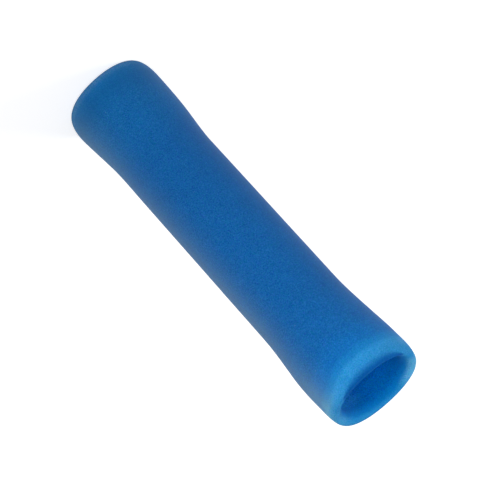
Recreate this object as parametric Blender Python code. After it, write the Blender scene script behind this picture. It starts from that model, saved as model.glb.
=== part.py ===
# Insulated butt splice connector for 1.5 to 2.5 mm2 wire, standing on its lower mouth.
# A blue vinyl sleeve, belled at both mouths, grips a tinned copper crimp barrel.
# Metres, +Z up the sleeve, origin on the barrel's axis at the height of the lower rim.

import math

import bmesh
import bpy

MM = 0.001

# Crimp barrel: a strip rolled into a tube, its two long edges brazed together
BARREL_LENGTH = 15.0 * MM
BARREL_BORE = 2.3 * MM
BARREL_WALL = 0.8 * MM
BARREL_ENTRY_CHAMFER = 0.2 * MM
BARREL_EDGE_CHAMFER = 0.12 * MM

# Seam: the V left where the edges meet, outside and in the bore
SEAM_WIDTH = 0.22 * MM
SEAM_DEPTH = 0.15 * MM

# Grip grooves round the bore, counted from each end of the barrel
GROOVES_PER_SIDE = 3
GROOVE_FIRST = 1.6 * MM
GROOVE_PITCH = 1.5 * MM
GROOVE_WIDTH = 0.5 * MM
GROOVE_FLOOR = 0.26 * MM
GROOVE_DEPTH = 0.12 * MM

# Wire stop: a dimple punched into the barrel's middle, opposite the seam
STOP_LENGTH = 1.9 * MM
STOP_DEPTH = 0.75 * MM
STOP_SPREAD = math.radians(104)

# Insulating sleeve: a vinyl tube that grips the barrel
SLEEVE_LENGTH = 25.5 * MM
SLEEVE_WALL = 0.725 * MM
FIT_GAP = 0.05 * MM

# Bells: the wall flares out from just inside each barrel end, and the lower bell flares right up to its rim
FLARE_RISE = 0.305 * MM
FLARE_OVERLAP = 1.55 * MM
UPPER_CREST_DEPTH = 1.9 * MM
LOWER_CREST_DEPTH = 0.2 * MM
MOUTH_BORE_DEPTH = 1.9 * MM

# Lips: long and soft outside, a narrow flat rim, then a wide round that leads the wire into the mouth
MOUTH_WALL = 0.93 * MM
RIM_LAND = 0.1 * MM
LIP_LENGTH = 1.4 * MM
INNER_ROUND = 0.63 * MM
INNER_ROUND_LENGTH = 1.0 * MM

# Soft bells never set quite true to the axis: the upper mouth and the lower neck sit over towards -X
UPPER_MOUTH_SHIFT = 0.14 * MM
LOWER_NECK_SHIFT = 0.095 * MM
NECK_LENGTH = 1.4 * MM

# Facets
SLEEVE_SIDES = 64
BARREL_SIDES = 48
FLARE_STEPS = 10
LIP_STEPS = 6
INNER_ROUND_STEPS = 6
FUNNEL_STEPS = 8
STOP_STEPS = 12

# Sizes that follow from the ones above
bore_radius = BARREL_BORE / 2
barrel_radius = bore_radius + BARREL_WALL
seat_radius = barrel_radius + FIT_GAP
body_radius = seat_radius + SLEEVE_WALL
mouth_radius = body_radius + FLARE_RISE - MOUTH_WALL
lip_drop = MOUTH_WALL - RIM_LAND - INNER_ROUND
recess = (SLEEVE_LENGTH - BARREL_LENGTH) / 2
flare_depth = recess + FLARE_OVERLAP
neck_depth = recess - NECK_LENGTH
mid_height = SLEEVE_LENGTH / 2


def clear_scene():
    for obj in list(bpy.data.objects):
        bpy.data.objects.remove(obj)


def ease(share):
    """Rises from 0 to 1 with no slope at either end, and stays there beyond them."""
    share = min(max(share, 0), 1)
    return share * share * (3 - 2 * share)


def quarter_turn(share):
    return share * math.pi / 2


def link(name, bm):
    """Makes an object of a bmesh, with its faces pointing outwards."""
    bmesh.ops.recalc_face_normals(bm, faces=bm.faces)
    mesh = bpy.data.meshes.new(name)
    bm.to_mesh(mesh)
    bm.free()
    obj = bpy.data.objects.new(name, mesh)
    bpy.context.scene.collection.objects.link(obj)
    return obj


def turn(name, outline, sides):
    """Spins a closed (radius, height, shift) outline about Z, then sets each point over to -X by its shift."""
    bm = bmesh.new()
    shifts = bm.verts.layers.float.new("shift")
    points = []
    for radius, height, shift in outline:
        point = bm.verts.new((radius, 0, height))
        point[shifts] = shift
        points.append(point)
    edges = [bm.edges.new(ends) for ends in zip(points, points[1:] + points[:1])]
    bmesh.ops.spin(bm, geom=points + edges, axis=(0, 0, 1), angle=math.tau, steps=sides, use_merge=True)
    for point in bm.verts:
        point.co.x -= point[shifts]
    bm.verts.layers.float.remove(shifts)
    obj = link(name, bm)
    obj.data.shade_smooth()
    obj.data.set_sharp_from_angle(angle=math.radians(35))
    return obj


def finish(obj, name, colour, roughness, metallic):
    material = bpy.data.materials.new(name)
    material.use_nodes = True
    shader = material.node_tree.nodes["Principled BSDF"]
    shader.inputs["Base Color"].default_value = (*colour, 1)
    shader.inputs["Roughness"].default_value = roughness
    shader.inputs["Metallic"].default_value = metallic
    obj.data.materials.append(material)


def outer_radius(depth, crest_depth):
    """The sleeve's outer radius at a depth in from the rim: body, flare and rounded lip."""
    flare = FLARE_RISE * ease((flare_depth - depth) / (flare_depth - crest_depth))
    into_lip = max(0, 1 - depth / LIP_LENGTH)
    return body_radius + flare - lip_drop * (1 - math.sqrt(1 - into_lip**2))


def outside_depths():
    """Depths of a bell's outer rings, from the plain body out to the rim."""
    bell_length = flare_depth - LIP_LENGTH
    along_bell = [flare_depth - bell_length * step / FLARE_STEPS for step in range(FLARE_STEPS)]
    round_lip = [LIP_LENGTH * (1 - math.sin(quarter_turn(step / LIP_STEPS))) for step in range(LIP_STEPS + 1)]
    return along_bell + round_lip


def inside_points():
    """A bell's inner (radius, depth) points, from the rim down the funnel to the barrel's seat."""
    points = []
    for step in range(INNER_ROUND_STEPS + 1):
        turn = quarter_turn(step / INNER_ROUND_STEPS)
        radius = mouth_radius + INNER_ROUND * (1 - math.sin(turn))
        points.append((radius, INNER_ROUND_LENGTH * (1 - math.cos(turn))))
    for step in range(FUNNEL_STEPS + 1):
        share = step / FUNNEL_STEPS
        depth = MOUTH_BORE_DEPTH + (recess - MOUTH_BORE_DEPTH) * share
        points.append((mouth_radius + (seat_radius - mouth_radius) * ease(share), depth))
    return points


def lean(depth, root_depth, neck_shift, mouth_shift):
    """How far a bell's wall sits over at a depth: none at its root, then by way of its neck to its mouth."""
    to_neck = ease((root_depth - depth) / (root_depth - neck_depth))
    to_mouth = ease((neck_depth - depth) / neck_depth)
    return neck_shift * to_neck + (mouth_shift - neck_shift) * to_mouth


def bell(crest_depth, neck_shift, mouth_shift):
    """One bell's (radius, depth, shift) points, out along its outside and back down its funnel."""
    points = []
    for depth in outside_depths():
        shift = lean(depth, flare_depth, neck_shift, mouth_shift)
        points.append((outer_radius(depth, crest_depth), depth, shift))
    for radius, depth in inside_points():
        points.append((radius, depth, lean(depth, recess, neck_shift, mouth_shift)))
    return points


def build_sleeve():
    lower = bell(LOWER_CREST_DEPTH, LOWER_NECK_SHIFT, 0)
    upper = bell(UPPER_CREST_DEPTH, 0, UPPER_MOUTH_SHIFT)
    outline = lower + [(radius, SLEEVE_LENGTH - depth, shift) for radius, depth, shift in reversed(upper)]
    sleeve = turn("insulating_sleeve", outline, SLEEVE_SIDES)
    finish(sleeve, "blue_vinyl", (0.008, 0.11, 0.36), 0.55, 0.0)


def stop_heights():
    """Heights of the rows of points across the wire stop, from the barrel's middle."""
    return [STOP_LENGTH * (step / STOP_STEPS - 0.5) for step in range(STOP_STEPS + 1)]


def groove(centre):
    """One grip groove in the bore, from its lower edge to its upper edge."""
    floor_radius = bore_radius + GROOVE_DEPTH
    return [
        (bore_radius, centre - GROOVE_WIDTH / 2),
        (floor_radius, centre - GROOVE_FLOOR / 2),
        (floor_radius, centre + GROOVE_FLOOR / 2),
        (bore_radius, centre + GROOVE_WIDTH / 2),
    ]


def barrel_outline():
    """The barrel's (radius, height) points, from its middle's height, up the bore and down the outside."""
    half = BARREL_LENGTH / 2
    from_end = [GROOVE_FIRST + GROOVE_PITCH * count for count in range(GROOVES_PER_SIDE)]
    lower_grooves = [point for depth in from_end for point in groove(depth - half)]
    upper_grooves = [point for depth in reversed(from_end) for point in groove(half - depth)]
    return [
        (bore_radius + BARREL_ENTRY_CHAMFER, -half),
        (bore_radius, BARREL_ENTRY_CHAMFER - half),
        *lower_grooves,
        *[(bore_radius, height) for height in stop_heights()],
        *upper_grooves,
        (bore_radius, half - BARREL_ENTRY_CHAMFER),
        (bore_radius + BARREL_ENTRY_CHAMFER, half),
        (barrel_radius - BARREL_EDGE_CHAMFER, half),
        (barrel_radius, half - BARREL_EDGE_CHAMFER),
        *[(barrel_radius, height) for height in reversed(stop_heights())],
        (barrel_radius, BARREL_EDGE_CHAMFER - half),
        (barrel_radius - BARREL_EDGE_CHAMFER, -half),
    ]


def punch_stop(barrel):
    """Presses the wall inwards by a smooth dimple on the -X side, at the barrel's middle."""
    for vertex in barrel.data.vertices:
        x, y, z = vertex.co
        round_share = math.atan2(y, -x) / (STOP_SPREAD / 2)
        along_share = z / (STOP_LENGTH / 2)
        if abs(round_share) >= 1 or abs(along_share) >= 1:
            continue
        depth = STOP_DEPTH * (math.cos(quarter_turn(round_share)) * math.cos(quarter_turn(along_share))) ** 2
        kept = 1 - depth / math.hypot(x, y)
        vertex.co = (x * kept, y * kept, z)


def seam_cutter(name, open_radius, root_radius):
    """A long wedge along the +X side, SEAM_WIDTH wide at open_radius and sharp at root_radius."""
    back_radius = 2 * open_radius - root_radius
    corners = [(root_radius, 0), (back_radius, -SEAM_WIDTH), (back_radius, SEAM_WIDTH)]
    bm = bmesh.new()
    base = bm.faces.new([bm.verts.new((x, y, -BARREL_LENGTH)) for x, y in corners])
    raised = bmesh.ops.extrude_face_region(bm, geom=[base])["geom"]
    top = [item for item in raised if isinstance(item, bmesh.types.BMVert)]
    bmesh.ops.translate(bm, verts=top, vec=(0, 0, 2 * BARREL_LENGTH))
    cutter = link(name, bm)
    cutter.location.z = mid_height
    cutter.hide_render = True
    cutter.display_type = "WIRE"
    return cutter


def build_barrel():
    outline = [(radius, height, 0) for radius, height in barrel_outline()]
    barrel = turn("crimp_barrel", outline, BARREL_SIDES)
    punch_stop(barrel)
    barrel.location.z = mid_height
    cutters = [
        seam_cutter("outer_seam_cutter", barrel_radius, barrel_radius - SEAM_DEPTH),
        seam_cutter("bore_seam_cutter", bore_radius, bore_radius + SEAM_DEPTH),
    ]
    for cutter in cutters:
        cut = barrel.modifiers.new(cutter.name, "BOOLEAN")
        cut.operation = "DIFFERENCE"
        cut.object = cutter
    finish(barrel, "tinned_copper", (0.62, 0.61, 0.58), 0.32, 1.0)


clear_scene()
build_sleeve()
build_barrel()
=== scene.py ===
import math

import bpy
from mathutils import Matrix, Vector


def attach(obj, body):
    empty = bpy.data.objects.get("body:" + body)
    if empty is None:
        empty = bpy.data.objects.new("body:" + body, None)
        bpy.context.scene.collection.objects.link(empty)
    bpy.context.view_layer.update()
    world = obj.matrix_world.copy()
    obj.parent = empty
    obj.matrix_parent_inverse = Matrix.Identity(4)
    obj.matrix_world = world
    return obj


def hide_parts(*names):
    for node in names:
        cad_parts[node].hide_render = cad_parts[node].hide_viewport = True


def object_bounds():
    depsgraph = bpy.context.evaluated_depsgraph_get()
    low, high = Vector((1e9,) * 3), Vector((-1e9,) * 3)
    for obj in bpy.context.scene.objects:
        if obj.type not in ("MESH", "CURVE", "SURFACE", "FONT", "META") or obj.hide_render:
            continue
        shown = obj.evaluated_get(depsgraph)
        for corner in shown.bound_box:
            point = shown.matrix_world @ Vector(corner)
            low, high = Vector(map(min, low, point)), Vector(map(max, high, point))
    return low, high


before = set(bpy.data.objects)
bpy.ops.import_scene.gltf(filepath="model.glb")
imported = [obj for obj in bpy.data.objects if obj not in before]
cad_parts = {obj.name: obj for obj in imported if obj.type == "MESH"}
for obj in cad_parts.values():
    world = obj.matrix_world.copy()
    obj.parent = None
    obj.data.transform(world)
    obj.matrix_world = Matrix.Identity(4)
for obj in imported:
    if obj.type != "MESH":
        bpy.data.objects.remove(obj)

# Insulated butt splice, standing on its lower mouth: a belled blue vinyl sleeve round a tinned crimp barrel.
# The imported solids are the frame; the two pieces here are remade finer, on the same sizes.

mm = 0.001
quarter = math.pi / 2
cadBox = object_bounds()
print("frame loaded:", ", ".join(sorted(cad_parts)))


# Node building, shared by the geometry and the material trees

nodeSpacing = {"column": 220, "row": 190}


class Bench:
    # One node tree, with short ways to add a node and to feed its sockets
    def __init__(self, tree):
        self.tree = tree

    def feed(self, socket, value):
        if isinstance(value, bpy.types.NodeSocket):
            self.tree.links.new(value, socket)
        elif value is not None:
            socket.default_value = value

    def add(self, kind, named=None, ordered=(), **settings):
        node = self.tree.nodes.new(kind)
        for key, value in settings.items():
            setattr(node, key, value)
        for key, value in (named or {}).items():
            self.feed(next(s for s in node.inputs if s.name == key and s.enabled), value)
        for socket, value in zip([s for s in node.inputs if s.enabled], ordered):
            self.feed(socket, value)
        return node

    def math(self, operation, *values, clamp=False):
        return self.add("ShaderNodeMath", ordered=values, operation=operation, use_clamp=clamp).outputs[0]

    def chain(self, operation, values):
        total = values[0]
        for value in values[1:]:
            total = self.math(operation, total, value)
        return total

    def times(self, *values):
        return self.chain("MULTIPLY", values)

    def plus(self, *values):
        return self.chain("ADD", values)

    def minus(self, *values):
        return self.chain("SUBTRACT", values)

    def shareLeft(self, depth, length):
        # 1 at the rim, 0 from the length on
        return self.math("SUBTRACT", 1.0, self.math("DIVIDE", depth, length), clamp=True)

    def remap(self, value, low, high, toLow=0.0, toHigh=1.0, way="SMOOTHSTEP"):
        return self.add("ShaderNodeMapRange", ordered=(value, low, high, toLow, toHigh),
                        interpolation_type=way).outputs[0]

    def pick(self, test, whenFalse, whenTrue):
        # Both are numbers: a blend by a test from 0 to 1
        node = self.add("ShaderNodeMix", {"Factor": test, "A": whenFalse, "B": whenTrue}, data_type="FLOAT")
        return next(s for s in node.outputs if s.enabled)

    def tint(self, factor, colourA, colourB, blend="MIX"):
        node = self.add("ShaderNodeMix", {"Factor": factor, "A": colourA, "B": colourB},
                        data_type="RGBA", blend_type=blend)
        return next(s for s in node.outputs if s.enabled)

    def ramp(self, value, reach, stops):
        # Colours at depths in millimetres, eased from one to the next
        node = self.add("ShaderNodeValToRGB", {"Fac": self.math("DIVIDE", value, reach)})
        elements = node.color_ramp.elements
        node.color_ramp.interpolation = "EASE"
        elements.remove(elements[1])
        for number, (depth, colour) in enumerate(sorted(stops.items())):
            share = min(depth * mm / reach, 1.0)
            element = elements[0] if number == 0 else elements.new(share)
            element.position = share
            element.color = colour
        return node.outputs["Color"]

    def reading(self, label):
        # A value that a geometry tree has stored on the mesh
        return self.add("ShaderNodeAttribute", attribute_name=label).outputs["Fac"]

    def tidy(self):
        # Nodes stand in columns, by how far they are from the tree's start
        column = {}

        def reach(node):
            if node not in column:
                column[node] = 0
                sources = [link.from_node for socket in node.inputs for link in socket.links]
                column[node] = 1 + max((reach(source) for source in sources), default=0)
            return column[node]

        rows = {}
        for node in self.tree.nodes:
            place = reach(node)
            rows[place] = rows.get(place, 0) + 1
            node.location = (place * nodeSpacing["column"], -rows[place] * nodeSpacing["row"])


def newTree(name, kind, sizes, outputs):
    # sizes: input name to default value; outputs: name to socket type
    tree = bpy.data.node_groups.new(name, kind)
    for label, value in sizes.items():
        socketType = "NodeSocketInt" if isinstance(value, int) else "NodeSocketFloat"
        if isinstance(value, tuple):
            socketType = "NodeSocketVector" if len(value) == 3 else "NodeSocketColor"
        if value is None:
            socketType = "NodeSocketMaterial"
        socket = tree.interface.new_socket(label, in_out="INPUT", socket_type=socketType)
        if value is not None:
            socket.default_value = value
    for label, socketType in outputs.items():
        tree.interface.new_socket(label, in_out="OUTPUT", socket_type=socketType)
    bench = Bench(tree)
    ins = tree.nodes.new("NodeGroupInput")
    outs = tree.nodes.new("NodeGroupOutput")
    return bench, ins.outputs, outs.inputs


def useTree(bench, tree, values):
    kind = "GeometryNodeGroup" if tree.bl_idname == "GeometryNodeTree" else "ShaderNodeGroup"
    node = bench.tree.nodes.new(kind)
    node.node_tree = tree
    for label, value in values.items():
        bench.feed(node.inputs[label], value)
    return node.outputs


def growPiece(name, tree, values):
    # Runs a geometry tree on an empty mesh and keeps the result as a plain mesh at the origin
    seedMesh = bpy.data.meshes.new(name + "Seed")
    seed = bpy.data.objects.new(name + "Seed", seedMesh)
    bpy.context.scene.collection.objects.link(seed)
    modifier = seed.modifiers.new("form", "NODES")
    modifier.node_group = tree
    for item in tree.interface.items_tree:
        if item.item_type == "SOCKET" and item.in_out == "INPUT" and item.name in values:
            modifier[item.identifier] = values[item.name]
    graph = bpy.context.evaluated_depsgraph_get()
    mesh = bpy.data.meshes.new_from_object(seed.evaluated_get(graph))
    seed.modifiers.remove(modifier)
    bpy.data.objects.remove(seed)
    bpy.data.meshes.remove(seedMesh)
    mesh.name = name
    piece = bpy.data.objects.new(name, mesh)
    bpy.context.scene.collection.objects.link(piece)
    print(name, "grown:", len(mesh.vertices), "points,", len(mesh.polygons), "faces")
    return piece


# Camera: the near mouth is the upper one, so the picture is rolled by nearly half a right angle

pictureView = {
    "tilt": 64.0,               # degrees from the sleeve's axis to the line of sight
    "roll": 48.03,              # degrees the picture is turned round the line of sight
    "distance": 132.37 * mm,
    "slideRight": -0.751 * mm,
    "slideDown": -0.690 * mm,
    "lens": 164.07,
    "sensor": 36.0,
    "nearest": 10 * mm,
    "farthest": 20.0,
}


def viewAxes():
    tilt, roll = math.radians(pictureView["tilt"]), math.radians(pictureView["roll"])
    ahead = Vector((0, math.sin(tilt), -math.cos(tilt)))
    right = Vector((-math.sin(roll), math.cos(roll) * math.cos(tilt), math.cos(roll) * math.sin(tilt)))
    return right, right.cross(ahead), ahead


def placeCamera(middle):
    right, up, ahead = viewAxes()
    lens = bpy.data.cameras.new("pictureCamera")
    lens.lens = pictureView["lens"]
    lens.sensor_width = pictureView["sensor"]
    lens.clip_start = pictureView["nearest"]
    lens.clip_end = pictureView["farthest"]
    camera = bpy.data.objects.new("pictureCamera", lens)
    bpy.context.scene.collection.objects.link(camera)
    camera.matrix_world = Matrix((right, up, -ahead)).transposed().to_4x4()
    camera.location = (middle - ahead * pictureView["distance"]
                       - right * pictureView["slideRight"] + up * pictureView["slideDown"])
    bpy.context.scene.camera = camera
    print("camera placed")


# Both pieces are one closed section, turned round the barrel's axis

def sweptRing(bench, ins):
    # A ring path and a ring section with twice the rows, both numbered before they are swept.
    # Their radii don't matter, because every point is placed by its two numbers
    path = bench.add("GeometryNodeCurvePrimitiveCircle", {"Resolution": ins["Sides"], "Radius": 1.0})
    section = bench.add("GeometryNodeCurvePrimitiveCircle",
                        {"Resolution": bench.times(ins["Rows"], 2.0), "Radius": 0.1})
    index = bench.add("GeometryNodeInputIndex").outputs[0]
    numbered = []
    steps = []
    for curve, label in ((path, "turnStep"), (section, "sectionStep")):
        store = bench.add("GeometryNodeStoreNamedAttribute",
                          {"Geometry": curve.outputs[0], "Name": label, "Value": index}, data_type="FLOAT")
        numbered.append(store.outputs[0])
        step = bench.add("GeometryNodeInputNamedAttribute", {"Name": label}, data_type="FLOAT")
        steps.append(step.outputs[0])
    swept = bench.add("GeometryNodeCurveToMesh",
                      {"Curve": numbered[0], "Profile Curve": numbered[1]}).outputs[0]

    # The first half of the section climbs the outside, the second half comes down the inside
    turnStep, sectionStep = steps
    last = bench.minus(ins["Rows"], 1.0)
    inside = bench.math("GREATER_THAN", sectionStep, bench.minus(ins["Rows"], 0.5))
    back = bench.minus(bench.plus(ins["Rows"], last), sectionStep)
    climb = bench.math("DIVIDE", bench.pick(inside, sectionStep, back), last)
    angle = bench.times(turnStep, bench.math("DIVIDE", math.tau, ins["Sides"]))
    return swept, angle, inside, climb


def endTree(bench, ins, outs, placed, readings, sharpEdge=None):
    # Stores what the material reads, turns the faces outwards and closes the tree
    for label, value in readings.items():
        placed = bench.add("GeometryNodeStoreNamedAttribute",
                           {"Geometry": placed, "Name": label, "Value": value}, data_type="FLOAT").outputs[0]
    for label in ("turnStep", "sectionStep"):
        placed = bench.add("GeometryNodeRemoveAttribute", {"Geometry": placed, "Name": label}).outputs[0]
    outward = bench.add("GeometryNodeFlipFaces", {"Mesh": placed}).outputs[0]
    shaded = bench.add("GeometryNodeSetShadeSmooth", {"Geometry": outward, "Shade Smooth": True}).outputs[0]
    if sharpEdge is not None:
        bend = bench.add("GeometryNodeInputMeshEdgeAngle").outputs[0]
        sharp = bench.add("FunctionNodeCompare", {"A": bend, "B": sharpEdge},
                          data_type="FLOAT", operation="GREATER_THAN").outputs[0]
        shaded = bench.add("GeometryNodeSetShadeSmooth",
                           {"Geometry": shaded, "Selection": sharp, "Shade Smooth": False},
                           domain="EDGE").outputs[0]
    real = bench.add("GeometryNodeRealizeInstances", {"Geometry": shaded}).outputs[0]
    finished = bench.add("GeometryNodeSetMaterial", {"Geometry": real, "Material": ins["Material"]})
    bench.feed(outs["Geometry"], finished.outputs[0])
    bench.tidy()
    return bench.tree


# Sleeve: belled at both mouths, and leaning a little at each bell

sleeveSizes = {
    "Length": 25.5 * mm,
    "Body Radius": 2.725 * mm,
    "Seat Radius": 2.0 * mm,
    "Mouth Radius": 2.10 * mm,
    "Flare Rise": 0.2935 * mm,      # a hair under the solid's, to keep the finished lip inside it
    "Flare Depth": 6.8 * mm,        # where the outside starts to flare
    "Recess": 5.25 * mm,            # from a rim to the barrel's end
    "Neck Depth": 3.85 * mm,
    "Mouth Bore Depth": 1.9 * mm,   # where the funnel starts
    "Lip Length": 1.05 * mm,
    "Lip Drop": 0.20 * mm,
    "Upper Lip Roll": 0.35 * mm,    # how much rounder the upper lip is on its -Y side
    "Upper Roll Length": 0.75 * mm,
    "Upper Roll Turn": math.radians(12),
    "Upper Roll Land": 0.09 * mm,   # how much narrower that makes the flat rim there
    "Squareness": 0.55,             # share of the lip's drop that is missing between the four quarters
    "Inner Round": 0.618 * mm,
    "Inner Round Length": 1.0 * mm,
    "Upper Crest": 1.9 * mm,
    "Lower Crest": 0.2 * mm,
    "Upper Mouth Shift": 0.14 * mm,
    "Lower Neck Shift": 0.095 * mm,
    "Wobble": 0.012 * mm,           # how far the moulded skin wanders, always inwards
    "Wobble Size": 4.5 * mm,
    "Wobble Seed": 3.7,
    "Wobble Detail": 1.0,
    "Wobble Roughness": 0.4,
    "Wobble Starts": 0.2 * mm,      # none at the rims, so the sleeve stands true
    "Wobble Full": 1.6 * mm,
    "Rolled Starts": -0.45,         # sines of the turn, where the material takes the lip as rolled
    "Rolled Full": -0.98,
    "Seam Side Sheen": 0.40,             # a painted sheen makes the upper lip pale on two sides, the -X side more
    "Stop Side Sheen Turn": math.radians(150),
    "Side Sheen Starts": 0.80,           # cosines of the turn away from a painted sheen's middle
    "Seam Side Sheen Full": 1.0,
    "Stop Side Sheen Full": 0.98,
    "Sides": 192,
    "Rows": 170,                    # along the outside, and again along the inside
}


def lipRoundTree():
    # How far a surface has turned away at a depth: a quarter of an ellipse
    bench, ins, outs = newTree("lipRound", "GeometryNodeTree",
                               {"Depth": 0.0, "Length": 1.0, "Drop": 1.0}, {"Turned": "NodeSocketFloat"})
    left = bench.shareLeft(ins["Depth"], ins["Length"])
    rise = bench.math("SQRT", bench.math("SUBTRACT", 1.0, bench.times(left, left), clamp=True))
    bench.feed(outs["Turned"], bench.times(ins["Drop"], bench.minus(1.0, rise)))
    bench.tidy()
    return bench.tree


def sleeveTree():
    bench, ins, outs = newTree("belledSleeve", "GeometryNodeTree", {**sleeveSizes, "Material": None},
                               {"Geometry": "NodeSocketGeometry"})
    lipRound = lipRoundTree()
    swept, angle, inside, climb = sweptRing(bench, ins)
    sine, cosine = bench.math("SINE", angle), bench.math("COSINE", angle)

    # Height, with closer rows by the rims, depth in from the nearer rim, and which bell it is
    swing = bench.math("COSINE", bench.times(climb, math.pi))
    height = bench.times(ins["Length"], bench.times(bench.minus(1.0, swing), 0.5))
    fromTop = bench.minus(ins["Length"], height)
    depth = bench.math("MAXIMUM", bench.math("MINIMUM", height, fromTop), 0.0)
    isUpper = bench.math("GREATER_THAN", climb, 0.5)

    # Outside: the bell, the lip's round, which is less between the four quarters, and the upper lip's roll
    crest = bench.pick(isUpper, ins["Lower Crest"], ins["Upper Crest"])
    flare = bench.remap(depth, ins["Flare Depth"], crest, 0.0, ins["Flare Rise"])
    doubleSine = bench.times(sine, cosine, 2.0)
    missing = bench.times(bench.times(ins["Squareness"], ins["Lip Drop"]),
                          bench.times(doubleSine, doubleSine))
    outerLip = useTree(bench, lipRound, {"Depth": depth, "Length": ins["Lip Length"],
                                         "Drop": bench.minus(ins["Lip Drop"], missing)})[0]
    rollSine = bench.math("SINE", bench.plus(angle, ins["Upper Roll Turn"]))
    facing = bench.times(isUpper, bench.remap(rollSine, 0.0, -1.0))
    roll = useTree(bench, lipRound, {"Depth": depth, "Length": ins["Upper Roll Length"],
                                     "Drop": bench.times(ins["Upper Lip Roll"], facing)})[0]
    outer = bench.minus(bench.plus(ins["Body Radius"], flare), outerLip, roll)

    # Inside: the funnel, and the mouth's round, which turns into a sharper cone where the lip is rolled
    funnel = bench.remap(depth, ins["Mouth Bore Depth"], ins["Recess"],
                         ins["Mouth Radius"], ins["Seat Radius"])
    taken = bench.times(facing, bench.minus(ins["Upper Lip Roll"], ins["Upper Roll Land"]))
    given = bench.times(missing, bench.math("LESS_THAN", cosine, 0.0))
    innerDrop = bench.plus(bench.minus(ins["Inner Round"], taken), given)
    innerRound = useTree(bench, lipRound, {"Depth": depth, "Length": ins["Inner Round Length"],
                                           "Drop": innerDrop})[0]
    left = bench.shareLeft(depth, ins["Inner Round Length"])
    innerCone = bench.times(innerDrop, bench.times(left, left))
    inner = bench.plus(funnel, bench.pick(facing, innerRound, innerCone))

    # Lean: out to the neck and on to the mouth, on both walls alike
    root = bench.pick(inside, ins["Flare Depth"], ins["Recess"])
    toNeck = bench.remap(depth, root, ins["Neck Depth"])
    toMouth = bench.remap(depth, ins["Neck Depth"], 0.0)
    neckShift = bench.pick(isUpper, ins["Lower Neck Shift"], 0.0)
    mouthShift = bench.pick(isUpper, 0.0, ins["Upper Mouth Shift"])
    onward = bench.times(bench.minus(mouthShift, neckShift), toMouth)
    shift = bench.plus(bench.times(neckShift, toNeck), onward)

    # Where each point goes on its ring
    ringPlace = bench.add("ShaderNodeCombineXYZ", {
        "X": cosine, "Y": sine, "Z": bench.math("DIVIDE", height, ins["Wobble Size"])}).outputs[0]
    noise = bench.add("ShaderNodeTexNoise", {
        "Vector": ringPlace, "W": ins["Wobble Seed"], "Scale": 1.0, "Detail": ins["Wobble Detail"],
        "Roughness": ins["Wobble Roughness"]}, noise_dimensions="4D").outputs[0]
    calm = bench.remap(depth, ins["Wobble Starts"], ins["Wobble Full"])
    skin = bench.minus(outer, bench.times(noise, ins["Wobble"], calm))
    radius = bench.pick(inside, skin, inner)
    spot = bench.add("ShaderNodeCombineXYZ", {
        "X": bench.minus(bench.times(radius, cosine), shift), "Y": bench.times(radius, sine),
        "Z": height}).outputs[0]
    placed = bench.add("GeometryNodeSetPosition", {"Geometry": swept, "Position": spot}).outputs[0]

    # What the vinyl's material reads: depth from a rim, which wall, where the lip is rolled, and where it
    # gets a painted sheen
    rolled = bench.times(isUpper, bench.remap(rollSine, ins["Rolled Starts"], ins["Rolled Full"]))
    toSeam = bench.remap(cosine, ins["Side Sheen Starts"], ins["Seam Side Sheen Full"])
    stopCosine = bench.math("COSINE", bench.minus(angle, ins["Stop Side Sheen Turn"]))
    toStop = bench.remap(stopCosine, ins["Side Sheen Starts"], ins["Stop Side Sheen Full"])
    sideSheen = bench.plus(bench.times(toSeam, ins["Seam Side Sheen"]), toStop)
    readings = {"fromRim": depth, "inWall": inside, "rolled": rolled, "sideSheen": sideSheen}
    return endTree(bench, ins, outs, placed, readings)


# Barrel: a rolled strip with grip grooves round its bore, a brazed seam and a punched wire stop

barrelSizes = {
    "Length": 15.0 * mm,
    "Middle Height": 12.75 * mm,
    "Bore Radius": 1.15 * mm,
    "Outer Radius": 1.95 * mm,
    "Entry Chamfer": 0.2 * mm,
    "Edge Chamfer": 0.12 * mm,
    "Groove Count": 3,              # at each end
    "Groove First": 1.6 * mm,
    "Groove Pitch": 1.5 * mm,
    "Groove Width": 0.5 * mm,
    "Groove Floor": 0.26 * mm,
    "Groove Depth": 0.12 * mm,
    "Seam Width": 0.22 * mm,
    "Seam Depth": 0.15 * mm,
    "Seam Crowding": 0.7,           # how much closer the columns stand at the seam
    "Stop Length": 1.9 * mm,
    "Stop Depth": 0.75 * mm,
    "Stop Spread": math.radians(104),
    "Sharp Edge": math.radians(32),     # edges that bend more than this are shaded crisp
    "Sides": 144,
    "Rows": 241,                    # along the outside, and again along the bore
}


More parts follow.
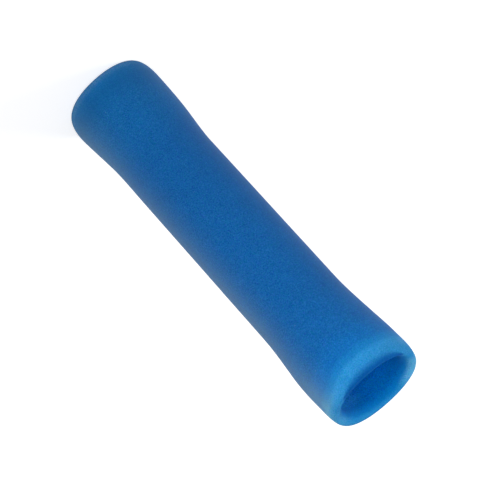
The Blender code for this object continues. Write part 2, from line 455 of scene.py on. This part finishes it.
def barrelTree():
    bench, ins, outs = newTree("rolledBarrel", "GeometryNodeTree", {**barrelSizes, "Material": None},
                               {"Geometry": "NodeSocketGeometry"})
    swept, evenly, inBore, climb = sweptRing(bench, ins)
    half = bench.times(ins["Length"], 0.5)
    along = bench.times(bench.minus(climb, 0.5), ins["Length"])
    fromEnd = bench.math("MAXIMUM", bench.minus(half, bench.math("ABSOLUTE", along)), 0.0)

    # Grooves: the nearest groove's middle, then a flat floor between two slopes
    pitches = bench.math("DIVIDE", bench.minus(fromEnd, ins["Groove First"]), ins["Groove Pitch"])
    nearest = bench.math("MINIMUM", bench.math("MAXIMUM", bench.math("ROUND", pitches), 0.0),
                         bench.minus(ins["Groove Count"], 1.0))
    middle = bench.plus(ins["Groove First"], bench.times(nearest, ins["Groove Pitch"]))
    away = bench.math("ABSOLUTE", bench.minus(fromEnd, middle))
    cut = bench.remap(away, bench.times(ins["Groove Width"], 0.5), bench.times(ins["Groove Floor"], 0.5),
                      0.0, ins["Groove Depth"], "LINEAR")

    # Columns crowd towards the seam, on +X
    angle = bench.minus(evenly, bench.times(ins["Seam Crowding"], bench.math("SINE", evenly)))
    sine, cosine = bench.math("SINE", angle), bench.math("COSINE", angle)
    plain = bench.pick(inBore, ins["Outer Radius"], ins["Bore Radius"])
    fromSeam = bench.math("ABSOLUTE", bench.times(plain, sine))
    front = bench.math("GREATER_THAN", cosine, 0.0)
    seam = bench.times(front, bench.remap(
        fromSeam, bench.times(ins["Seam Width"], 0.5), 0.0, 0.0, ins["Seam Depth"], "LINEAR"))

    # Stop: a round-edged dimple, pressed in on -X
    fromBack = bench.math("ABSOLUTE", bench.minus(angle, math.pi))
    roundShare = bench.math("DIVIDE", fromBack, bench.times(ins["Stop Spread"], 0.5), clamp=True)
    alongShare = bench.math("DIVIDE", bench.math("ABSOLUTE", along),
                            bench.times(ins["Stop Length"], 0.5), clamp=True)
    pressed = bench.times(bench.math("COSINE", bench.times(roundShare, quarter)),
                          bench.math("COSINE", bench.times(alongShare, quarter)))
    dimple = bench.times(pressed, pressed, ins["Stop Depth"])

    entry = bench.math("MAXIMUM", bench.minus(ins["Entry Chamfer"], fromEnd), 0.0)
    edge = bench.math("MAXIMUM", bench.minus(ins["Edge Chamfer"], fromEnd), 0.0)
    bore = bench.plus(plain, entry, bench.math("MAXIMUM", cut, seam))
    outside = bench.minus(plain, edge, seam)
    radius = bench.minus(bench.pick(inBore, outside, bore), dimple)
    spot = bench.add("ShaderNodeCombineXYZ", {
        "X": bench.times(radius, cosine), "Y": bench.times(radius, sine),
        "Z": bench.plus(along, ins["Middle Height"])}).outputs[0]
    placed = bench.add("GeometryNodeSetPosition", {"Geometry": swept, "Position": spot}).outputs[0]

    # What the tin's material reads: the creases, where the plating is dull
    crease = bench.math("MAXIMUM", bench.math("DIVIDE", seam, ins["Seam Depth"]),
                        bench.times(inBore, bench.math("DIVIDE", cut, ins["Groove Depth"])))
    return endTree(bench, ins, outs, placed, {"crease": crease}, ins["Sharp Edge"])


# Finishes

def newMaterial(name):
    material = bpy.data.materials.new(name)
    material.use_nodes = True
    return material, Bench(material.node_tree)


def endMaterial(material, bench, values):
    # Links or plain values for the shader's sockets
    shader = material.node_tree.nodes["Principled BSDF"]
    for label, value in values.items():
        bench.feed(shader.inputs[label], value)
    bench.tidy()
    return material


mottleShape = {
    "noise": {"Detail": 2.0, "Roughness": 0.55},
    "hueShares": (10.5, 2.5, 1.2),      # how far red, green and blue wander by themselves
}


def fineMottleTree():
    # Uneven colour and a fine grain, used by the vinyl and the tin alike
    bench, ins, outs = newTree(
        "fineMottle", "ShaderNodeTree",
        {"Place": (0.0, 0.0, 0.0), "Cloud Size": 1.0, "Grain Size": 0.1,
         "Cloud Amount": 0.5, "Grain Amount": 0.5, "Hue Amount": 0.0},
        {"Shade": "NodeSocketFloat", "Hues": "NodeSocketColor", "Height": "NodeSocketFloat"})
    noises = []
    for label in ("Cloud Size", "Grain Size"):
        noise = bench.add("ShaderNodeTexNoise", {
            "Vector": ins["Place"], "Scale": bench.math("DIVIDE", 1.0, ins[label]), **mottleShape["noise"]})
        noises.append(noise.outputs)
    clouds, grains = (bench.times(bench.minus(outputs[0], 0.5), 2.0) for outputs in noises)
    shade = bench.plus(bench.times(clouds, ins["Cloud Amount"]), bench.times(grains, ins["Grain Amount"]))
    channels = bench.add("ShaderNodeSeparateColor", {"Color": noises[1][1]}).outputs
    hues = []
    for channel, share in zip(channels, mottleShape["hueShares"]):
        wander = bench.times(bench.minus(channel, 0.5), bench.times(ins["Hue Amount"], share))
        hues.append(bench.math("MAXIMUM", bench.plus(1.0, shade, wander), 0.0))
    bench.feed(outs["Shade"], shade)
    bench.feed(outs["Hues"], bench.add("ShaderNodeCombineColor", ordered=hues).outputs[0])
    bench.feed(outs["Height"], grains)
    bench.tidy()
    return bench.tree


def specksTree():
    # Small separate flecks: dust on the vinyl, dull pits in the tin
    bench, ins, outs = newTree("specks", "ShaderNodeTree", {
        "Place": (0.0, 0.0, 0.0), "Spacing": 1.0, "Fleck Size": 0.1, "Share": 0.3},
        {"Mask": "NodeSocketFloat"})
    scale = bench.math("DIVIDE", 1.0, ins["Spacing"])
    cells = bench.add("ShaderNodeTexVoronoi", {"Vector": ins["Place"], "Scale": scale})
    chance = bench.add("ShaderNodeSeparateColor", {"Color": cells.outputs["Color"]}).outputs[0]
    chosen = bench.math("LESS_THAN", chance, ins["Share"])
    size = bench.math("DIVIDE", ins["Fleck Size"], ins["Spacing"])
    fleck = bench.remap(cells.outputs["Distance"], size, 0.0)
    bench.feed(outs["Mask"], bench.times(fleck, chosen))
    bench.tidy()
    return bench.tree


vinylLook = {
    # Colours at depths in from the rim, in millimetres. The upper bell's unbacked wall is paler, and palest
    # at the lip: painted light, as if light shone through the thin wall from its open mouth. The lower
    # bell's colours are painted shade, a little darker than the upper's, with a greyish painted sheen right
    # at its rim.
    "outsideReach": 7.0 * mm,
    "outside": {
        0.00: (0.0280, 0.270, 0.620, 1),
        0.85: (0.0300, 0.300, 0.660, 1),
        1.30: (0.0110, 0.217, 0.560, 1),
        1.80: (0.0075, 0.156, 0.475, 1),
        3.40: (0.0075, 0.127, 0.395, 1),
        6.50: (0.0075, 0.115, 0.362, 1),
    },
    "lower": {
        0.00: (0.0700, 0.190, 0.360, 1),
        0.25: (0.0400, 0.175, 0.390, 1),
        0.60: (0.0080, 0.124, 0.335, 1),
        1.20: (0.0060, 0.109, 0.307, 1),
        2.60: (0.0075, 0.116, 0.333, 1),
        4.00: (0.0072, 0.117, 0.343, 1),
        6.50: (0.0066, 0.105, 0.330, 1),
    },
    # The bore's colours are painted light: paler than the body's, most at the rim and again about 1.6 mm in,
    # as if light shone through the thin wall
    "boreReach": 3.0 * mm,
    "bore": {
        0.00: (0.0180, 0.280, 0.660, 1),
        0.22: (0.0020, 0.205, 0.580, 1),
        0.60: (0.0000, 0.160, 0.520, 1),
        1.60: (0.0010, 0.236, 0.710, 1),
        2.80: (0.0010, 0.212, 0.480, 1),
    },
    "upperHeights": (8.0 * mm, 17.0 * mm),          # from the lower bell's painted-shade colours to the upper bell's painted-light colours
    # Ranges are where an effect starts and where it is full, and the two values there, if not 0 and 1
    "paleLean": (0.0, 2.5 * mm, 0.0, 0.50 * mm),    # the painted light band is narrower towards +X
    "litBore": (0.030, 0.380, 0.920, 1),            # light comes through the wall on the bore's +X side
    "litAhead": (0.5 * mm, 2.0 * mm),
    "litDepths": (0.5 * mm, 1.2 * mm),
    "sideLipSheen": (0.100, 0.44, 0.78, 1),              # painted sheen: the upper lip is pale at its two sides, as gloss on the rounded lip
    "sideDepths": (1.3 * mm, 0.3 * mm),
    "sideBoreDepths": (0.02 * mm, 0.32 * mm),       # where the painted sheen ends in the bore
    "deep": (0.0005, 0.105, 0.400, 1),              # painted shade: the upper lip's rolled side is darker at its edge, where the rim turns away from the light
    "deepReach": 0.45 * mm,
    "deepRolled": (0.05, 0.4),
    "cornerShare": 0.60,                            # painted shade also darkens the bore's corner between +X and -Y
    "cornerAhead": (1.0 * mm, 1.9 * mm),
    "cornerAside": (0.4 * mm, -0.9 * mm),
    "cornerInward": (-0.05 * mm, 0.10 * mm),
    "cornerDepths": (1.0 * mm, 0.5 * mm),
    "outerGrain": (1.0 * mm, 2.6 * mm, 0.32, 0.55),     # the lips are smoother than the rest
    "boreGrain": (0.1 * mm, 0.8 * mm, 0.32, 0.65),
    "mottle": {"Cloud Size": 0.9 * mm, "Grain Size": 0.075 * mm, "Cloud Amount": 0.10},
    "dust": {"Spacing": 0.8 * mm, "Fleck Size": 0.07 * mm, "Share": 0.12},
    "dustColour": (0.20, 0.38, 0.55, 1),
    "dustStrength": 0.25,
    "roughness": (0.05 * mm, 0.6 * mm, 1.0, 0.65),      # dullest at the rims
    "roughnessMottle": 0.25,
    "bump": {"Strength": 0.22, "Distance": 0.02 * mm},
    "shader": {
        "IOR": 1.5,
        "Specular IOR Level": 0.5,
        "Specular Tint": (0.02, 0.25, 0.9, 1),
        "Subsurface Weight": 0.35,
        "Subsurface Radius": (0.15, 0.45, 1.0),
        "Subsurface Scale": 0.5 * mm,
    },
}


def paintVinyl(fineMottle, specks):
    material, bench = newMaterial("blueVinyl")
    look = vinylLook
    place = bench.add("ShaderNodeTexCoord").outputs["Object"]
    ahead, aside, height = bench.add("ShaderNodeSeparateXYZ", {"Vector": place}).outputs
    fromRim, inWall = bench.reading("fromRim"), bench.reading("inWall")
    rolled, sideSheen = bench.reading("rolled"), bench.reading("sideSheen")

    # Painted light and shade: the upper bell gets the pale, lit colours and the lower bell the darker,
    # shaded ones, blended by height
    leaning = bench.plus(fromRim, bench.remap(ahead, *look["paleLean"]))
    outside = bench.ramp(leaning, look["outsideReach"], look["outside"])
    lower = bench.ramp(fromRim, look["outsideReach"], look["lower"])
    shown = bench.remap(height, *look["upperHeights"])
    bore = bench.ramp(fromRim, look["boreReach"], look["bore"])
    through = bench.times(bench.remap(ahead, *look["litAhead"]), bench.remap(fromRim, *look["litDepths"]))
    bore = bench.tint(through, bore, look["litBore"])
    colour = bench.tint(inWall, bench.tint(shown, lower, outside), bore)

    # Painted sheen: the upper lip's two sides are made pale, outside and just into the bore, on the upper
    # bell only
    paintedSheen = bench.times(sideSheen, bench.remap(fromRim, *look["sideDepths"]))
    inBore = bench.times(inWall, bench.remap(fromRim, *look["sideBoreDepths"]))
    paintedSheen = bench.times(paintedSheen, shown, bench.minus(1.0, inBore))
    colour = bench.tint(paintedSheen, colour, look["sideLipSheen"])

    # Painted shade: the rolled side of the upper lip and the bore's corner between +X and -Y are darkened
    # towards the deep colour
    reach = bench.times(rolled, rolled, look["deepReach"])
    deepening = bench.times(bench.remap(fromRim, reach, 0.0), bench.remap(rolled, *look["deepRolled"]))
    inward = bench.times(fromRim, bench.remap(inWall, 0.0, 1.0, -1.0, 1.0))     # below 0 on the outside
    corner = bench.times(
        bench.remap(ahead, *look["cornerAhead"]), bench.remap(aside, *look["cornerAside"]), shown,
        bench.remap(inward, *look["cornerInward"]), bench.remap(fromRim, *look["cornerDepths"]))
    deepening = bench.math("MAXIMUM", deepening, bench.times(corner, look["cornerShare"]))
    colour = bench.tint(deepening, colour, look["deep"])

    grain = bench.pick(inWall, bench.remap(fromRim, *look["outerGrain"]),
                       bench.remap(fromRim, *look["boreGrain"]))
    mottle = useTree(bench, fineMottle, {"Place": place, **look["mottle"],
                                         "Grain Amount": grain, "Hue Amount": grain})
    colour = bench.tint(1.0, colour, mottle["Hues"], "MULTIPLY")
    dust = useTree(bench, specks, {"Place": place, **look["dust"]})[0]
    colour = bench.tint(bench.times(dust, look["dustStrength"]), colour, look["dustColour"])
    rough = bench.plus(bench.remap(fromRim, *look["roughness"]),
                       bench.times(mottle["Shade"], look["roughnessMottle"]))
    skin = bench.add("ShaderNodeBump", {**look["bump"], "Height": mottle["Height"]}).outputs[0]
    return endMaterial(material, bench, {"Base Color": colour, "Roughness": rough, "Normal": skin,
                                         **look["shader"]})


tinLook = {
    "bright": (0.62, 0.61, 0.58, 1),
    "dull": (0.30, 0.28, 0.25, 1),
    "drawn": (1.0, 1.0, 0.18),          # the mottle is drawn out along the barrel
    "mottle": {"Cloud Size": 0.7 * mm, "Grain Size": 0.09 * mm, "Cloud Amount": 0.5, "Grain Amount": 0.3},
    "pits": {"Spacing": 0.4 * mm, "Fleck Size": 0.06 * mm, "Share": 0.3},
    "creaseDulls": 0.7,
    "pitsDull": 0.5,
    "mottleDulls": 0.35,
    "roughness": 0.30,
    "dullRoughness": 0.35,              # how much rougher the dull places are
    "bump": {"Strength": 0.3, "Distance": 0.01 * mm},
}


def paintTin(fineMottle, specks):
    material, bench = newMaterial("tinnedCopper")
    look = tinLook
    place = bench.add("ShaderNodeTexCoord").outputs["Object"]
    drawn = bench.add("ShaderNodeMapping", {"Vector": place, "Scale": look["drawn"]}).outputs[0]
    mottle = useTree(bench, fineMottle, {"Place": drawn, **look["mottle"]})
    pits = useTree(bench, specks, {"Place": place, **look["pits"]})[0]
    dulled = bench.plus(bench.times(bench.reading("crease"), look["creaseDulls"]),
                        bench.times(pits, look["pitsDull"]))
    dulled = bench.math("ADD", dulled, bench.times(mottle["Shade"], look["mottleDulls"]), clamp=True)
    marks = bench.add("ShaderNodeBump", {**look["bump"], "Height": mottle["Height"]}).outputs[0]
    return endMaterial(material, bench, {
        "Base Color": bench.tint(dulled, look["bright"], look["dull"]),
        "Roughness": bench.plus(look["roughness"], bench.times(dulled, look["dullRoughness"])),
        "Normal": marks, "Metallic": 1.0})


# Studio: a plain white floor, a pale world and soft lamps

studio = {
    "floorSize": 3.0,
    "floorAlbedo": 0.80,
    "floorGlow": 0.56,          # what the camera and reflections see on top, so the lit floor is just white
    "worldStrength": 0.40,
}

lamps = {
    # way from the sleeve's middle, distance, size, watts, colour, and whether it only adds gloss
    "keyLamp": ((0.085, -0.95, 0.30), 0.30, 0.20, 0.48, (1.0, 1.0, 1.0), False),
    "fillLamp": ((-0.52, 0.65, 0.66), 0.30, 0.12, 0.30, (1.0, 1.0, 1.0), False),
    "glossLamp": ((0.85, 0.30, 0.02), 0.16, 0.03, 0.29, (1.0, 0.95, 0.05), True),
}


def seenDirectly(bench):
    # 1 for what the camera sees, by itself or in gloss and glass, and 0 for light on the object
    rays = bench.add("ShaderNodeLightPath").outputs
    mirrored = bench.math("MAXIMUM", rays["Is Glossy Ray"], rays["Is Transmission Ray"])
    return bench.math("MAXIMUM", rays["Is Camera Ray"], mirrored)


def addFloor():
    half = studio["floorSize"] / 2
    mesh = bpy.data.meshes.new("floor")
    corners = [(-half, -half, 0), (half, -half, 0), (half, half, 0), (-half, half, 0)]
    mesh.from_pydata(corners, [], [(0, 1, 2, 3)])
    floor = bpy.data.objects.new("floor", mesh)
    bpy.context.scene.collection.objects.link(floor)
    material, bench = newMaterial("paleFloor")
    material.node_tree.nodes.clear()
    albedo = studio["floorAlbedo"]
    matte = bench.add("ShaderNodeBsdfDiffuse", {"Color": (albedo, albedo, albedo, 1)}).outputs[0]
    strength = bench.times(seenDirectly(bench), studio["floorGlow"])
    glow = bench.add("ShaderNodeEmission", {"Color": (1, 1, 1, 1), "Strength": strength}).outputs[0]
    both = bench.add("ShaderNodeAddShader", ordered=(matte, glow)).outputs[0]
    bench.add("ShaderNodeOutputMaterial", {"Surface": both})
    bench.tidy()
    mesh.materials.append(material)


def addWorld():
    world = bpy.data.worlds.new("paleStudio")
    bpy.context.scene.world = world
    world.use_nodes = True
    world.node_tree.nodes.clear()
    bench = Bench(world.node_tree)
    strength = bench.pick(seenDirectly(bench), studio["worldStrength"], 1.0)
    background = bench.add("ShaderNodeBackground", {"Color": (1, 1, 1, 1), "Strength": strength}).outputs[0]
    bench.add("ShaderNodeOutputWorld", {"Surface": background})
    bench.tidy()


def addLamps(middle):
    for name, (way, distance, size, watts, colour, glossOnly) in lamps.items():
        light = bpy.data.lights.new(name, "AREA")
        light.shape = "DISK"
        light.size = size
        light.energy = watts
        light.color = colour
        lamp = bpy.data.objects.new(name, light)
        bpy.context.scene.collection.objects.link(lamp)
        outward = Vector(way).normalized()
        lamp.rotation_euler = outward.to_track_quat("Z", "Y").to_euler()
        lamp.location = middle + outward * distance
        lamp.visible_diffuse = not glossOnly


lowest, highest = (Vector(corner) for corner in cadBox)
middle = Vector((0, 0, (lowest.z + highest.z) / 2))
placeCamera(middle)

fineMottle, specks = fineMottleTree(), specksTree()
vinyl, tin = paintVinyl(fineMottle, specks), paintTin(fineMottle, specks)
print("finishes mixed")

sleeve = growPiece("blueSleeve", sleeveTree(), {**sleeveSizes, "Material": vinyl})
barrel = growPiece("tinnedBarrel", barrelTree(), {**barrelSizes, "Material": tin})
for piece, node, slot in ((sleeve, "insulating_sleeve", "insulation"), (barrel, "crimp_barrel", "barrel")):
    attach(piece, "root")
    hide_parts(node)
print("pieces riding on the frame")

addFloor()
addWorld()
addLamps(middle)
bpy.context.scene.view_settings.view_transform = "Standard"
print("studio lit")
